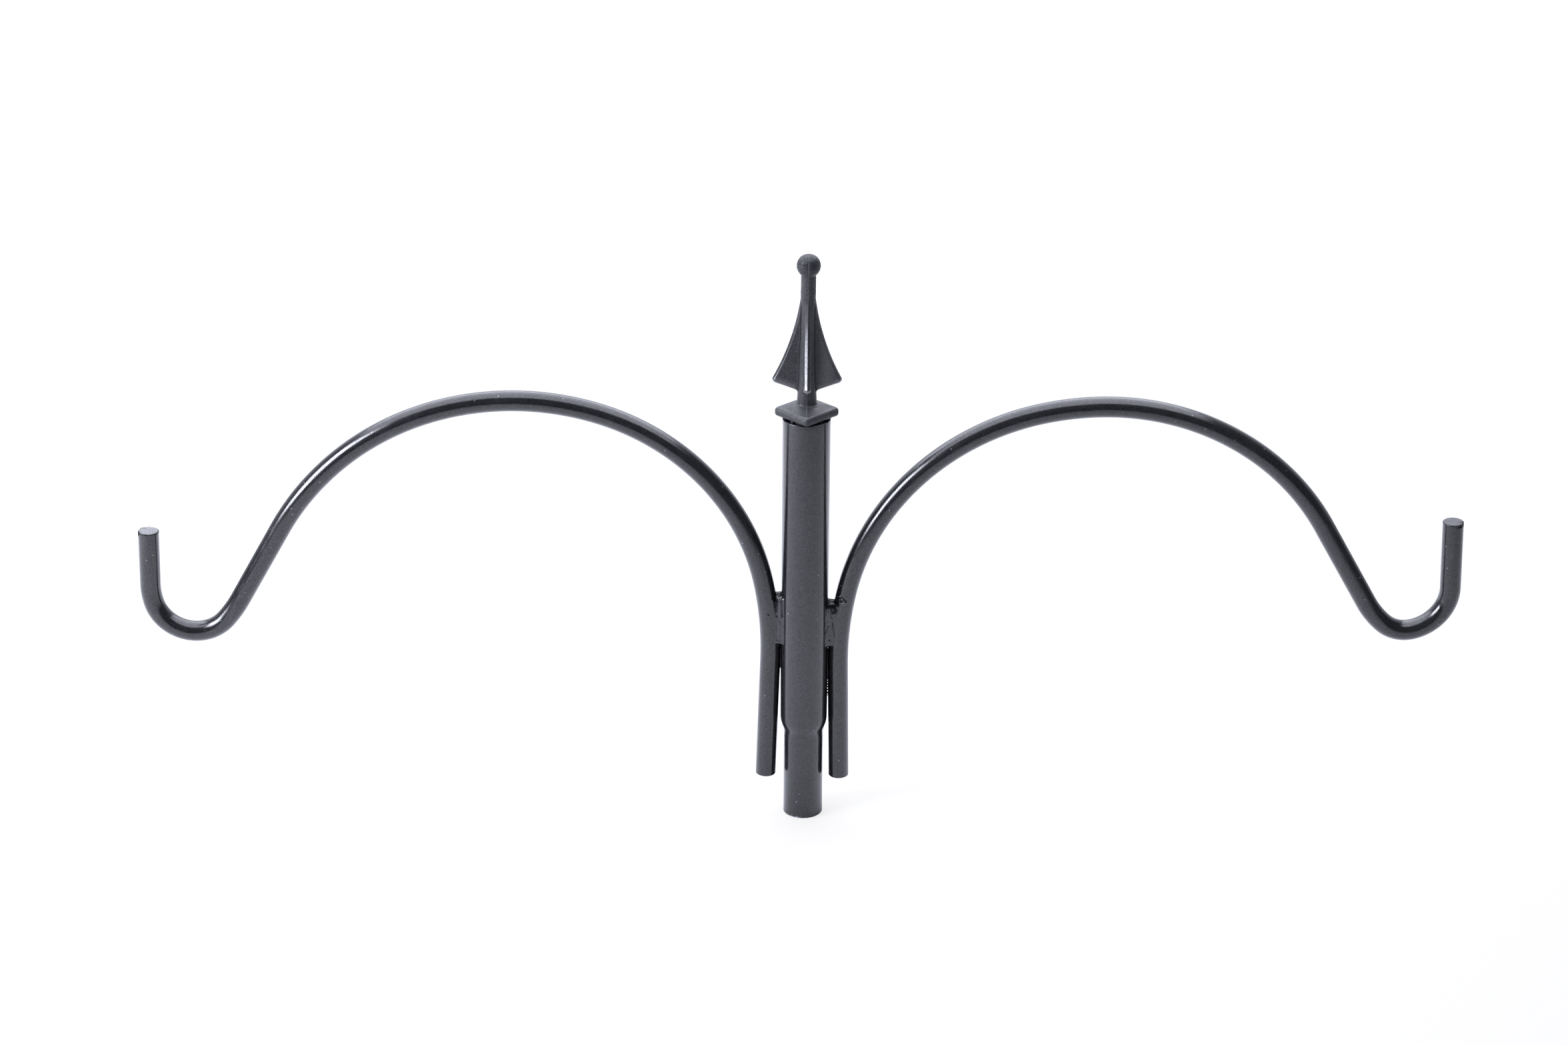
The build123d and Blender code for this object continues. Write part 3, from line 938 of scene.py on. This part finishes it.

# Painted highlights: a band along the fins' lower edges and the outer half of the right fin get extra
# sheen.
foot_slope = fin_foot_drop / (fin_reach - stem_radius)
over_foot = up - (flange_bottom + fin_tip - foot_slope * (fin_reach - reach))
on_fin = fin_zone * np.clip(reach - stem_radius - 0.3, 0, 1)
band_height, band_width = 1.2, 1.7
low_painted_sheen = np.exp(-((over_foot - band_height) / band_width) ** 2)
outer_reach, outer_width, outer_share = 9.5, 3.5, 0.6
right_painted_sheen = np.clip(aside / 4, 0, 1) * np.exp(-((reach - outer_reach) / outer_width) ** 2)
# Painted shade: the ball's sheen is lowered all over, and more in two dark patches at its front.
over_ball = up - ball_centre
ball_least, ball_shade_all_over = -4, 0.12
ball_shade_patches = ((2, 1.8, 2.2, 0.9, 0.5), (-1.8, 1.8, 1.6, 0.45, 0.3))
dark = sum(
    share * np.exp(-((aside - where) / width) ** 2 - ((over_ball - height) / spread) ** 2)
    for where, width, height, spread, share in ball_shade_patches
)
ball_painted_shade = (over_ball > ball_least) * (ball_shade_all_over + (depth < 0) * dark)
# Painted sheen on the fins, less the painted shade on the ball.
rubbed = on_fin * np.maximum(low_painted_sheen, outer_share * right_painted_sheen) - ball_painted_shade
rings[..., 1] += np.sign(depth) * crest
rings[..., 0] += lean
finial = skin(
    "finial_moulding", [rings], burnished=[burnished], rubbed=[rubbed], dusted=[dusty], parting=[parting],
)
finial.data.materials.append(moulded_plastic())
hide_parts("finial")
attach(finial, "cap")

# Floor
# A wide sheet of pale paper. The metal reflects it pale round the object and
# dark in front, where its colour is painted dark to stand for the shade of the dark room.
# The camera sees it burnt out to white: for camera rays alone it glows, less
# near the object.
floor_side = 8.0
floor_cells = 8
lit_front = -1.15
glow_from, glow_to = 0.5, 1.6
glow_least, glow_most = 0.7, 1.05
steps = np.linspace(-floor_side, floor_side, floor_cells + 1)
floor_x, floor_y = np.meshgrid(steps, steps)
floor_points = np.stack([floor_x, floor_y, 0 * floor_x], axis=-1).reshape(-1, 3)
row = floor_cells + 1
corner = (np.arange(floor_cells)[:, None] * row + np.arange(floor_cells)).ravel()
floor_faces = np.stack([corner, corner + 1, corner + row + 1, corner + row], axis=-1)
floor_mesh = bpy.data.meshes.new("paper_floor")
floor_mesh.from_pydata(floor_points.tolist(), [], floor_faces.tolist())
floor = bpy.data.objects.new("paper_floor", floor_mesh)
bpy.context.scene.collection.objects.link(floor)
paper, shader, links, add = finish_nodes("pale_paper")
spot = add("TexCoord", {}).outputs["Object"]
seen_directly = add("LightPath", {}).outputs["Is Camera Ray"]
from_front = add("SeparateXYZ", {0: spot}).outputs["Y"]
# Painted shade: for the light that the metal reflects, the paper in front of this line is dark.
lit = add("Math", {0: from_front, 1: lit_front}, operation="GREATER_THAN").outputs[0]
sheet = blend(add, lit, (0.04, 0.04, 0.04, 1), (0.66, 0.66, 0.66, 1))
links.new(blend(add, seen_directly, sheet, (0.125, 0.123, 0.115, 1)), shader["Base Color"])
# For the camera alone the paper glows, weaker near the object, so that it shows white.
away = add("VectorMath", {0: spot}, operation="LENGTH").outputs["Value"]
camera_glow = carried(add, away, glow_from, glow_to, glow_least, glow_most)
camera_glow = add("Math", {0: seen_directly, 1: camera_glow}, operation="MULTIPLY").outputs[0]
links.new(camera_glow, shader["Emission Strength"])
shader["Emission Color"].default_value = (1, 1, 1, 1)
shader["Roughness"].default_value = 1.0
shader["Specular IOR Level"].default_value = 0.0
floor.data.materials.append(paper)

# Lights
# A wide panel hangs above, a faint one stands behind and a strong soft box at
# the left. The room is pale behind the object and dark behind the camera.
scene = bpy.context.scene
cool_white = (0.95, 0.97, 1.1)
world = bpy.data.worlds.new("studio")
scene.world = world
world.use_nodes = True
add = node_adder(world.node_tree)
towards = add("TexCoord", {}).outputs["Generated"]
parts = add("SeparateXYZ", {0: add("VectorMath", {0: towards}, operation="NORMALIZE").outputs[0]})
behind = add("MapRange", {
    "Value": parts.outputs["Y"], "From Min": -0.2, "From Max": 0.8, "To Min": 0.2, "To Max": 1.2,
}, interpolation_type="SMOOTHSTEP").outputs[0]
is_camera = add("LightPath", {}).outputs["Is Camera Ray"]
seen = add("Mix", {0: is_camera, 2: behind, 3: 1.1}).outputs[0]
background = world.node_tree.nodes["Background"]
background.inputs["Color"].default_value = (*cool_white, 1)
world.node_tree.links.new(seen, background.inputs["Strength"])


def panel(name, place, aim, width, height, radiance):
    """A soft rectangular light at a place, turned to a point. Its power is its
    radiance times its area times pi."""
    light = bpy.data.lights.new(name, "AREA")
    light.shape = "RECTANGLE"
    light.size, light.size_y = width, height
    light.energy = np.pi * radiance * width * height
    light.color = cool_white
    stand = bpy.data.objects.new(name, light)
    shine = np.array(aim, float) - place
    shine /= np.linalg.norm(shine)
    beside = np.cross(shine, (0, 0, 1) if abs(shine[2]) < 0.99 else (0, 1, 0))
    beside /= np.linalg.norm(beside)
    axes = np.stack([beside, np.cross(beside, shine), -shine, np.array(place, float)], axis=1)
    stand.matrix_world = Matrix(axes.tolist() + [[0, 0, 0, 1]])
    stand.visible_camera = False
    scene.collection.objects.link(stand)


panel("soft_box", (-1.31, -0.55, 0.64), (0, 0, 0.15), 0.64, 0.72, 27)
panel("ceiling_panel", (-0.16, 0.35, 0.74), (-0.16, 0.35, 0), 1.46, 1.4, 4.3)
panel("back_panel", (-0.15, 1.05, 0.5), (-0.15, 0, 0.5), 2.4, 1.0, 0.45)

# Camera
# It stands 1.24 m in front and 0.7 m up, looks 24 degrees down with a long lens
# and leans 0.4 degrees, as fitted to the object's outlines in the photo.
camera_place = np.array([-0.009995, -1.24353, 0.70253])
tilt_down = 0.4171
roll = -0.0071
image_width, focal_pixels = 2352, 4402.25
forward = np.array([0, np.cos(tilt_down), -np.sin(tilt_down)])
level_right = np.array([1.0, 0, 0])
level_down = np.cross(forward, level_right)
right = np.cos(roll) * level_right + np.sin(roll) * level_down
down = -np.sin(roll) * level_right + np.cos(roll) * level_down
camera = bpy.data.cameras.new("camera")
camera.sensor_width = 36
camera.lens = focal_pixels / image_width * camera.sensor_width
camera.clip_start = 0.05
camera.clip_end = 100
stand = bpy.data.objects.new("camera", camera)
axes = np.stack([right, -down, -forward, camera_place], axis=1)
stand.matrix_world = Matrix(axes.tolist() + [[0, 0, 0, 1]])
scene.collection.objects.link(stand)
scene.camera = stand
scene.view_settings.view_transform = "Standard"
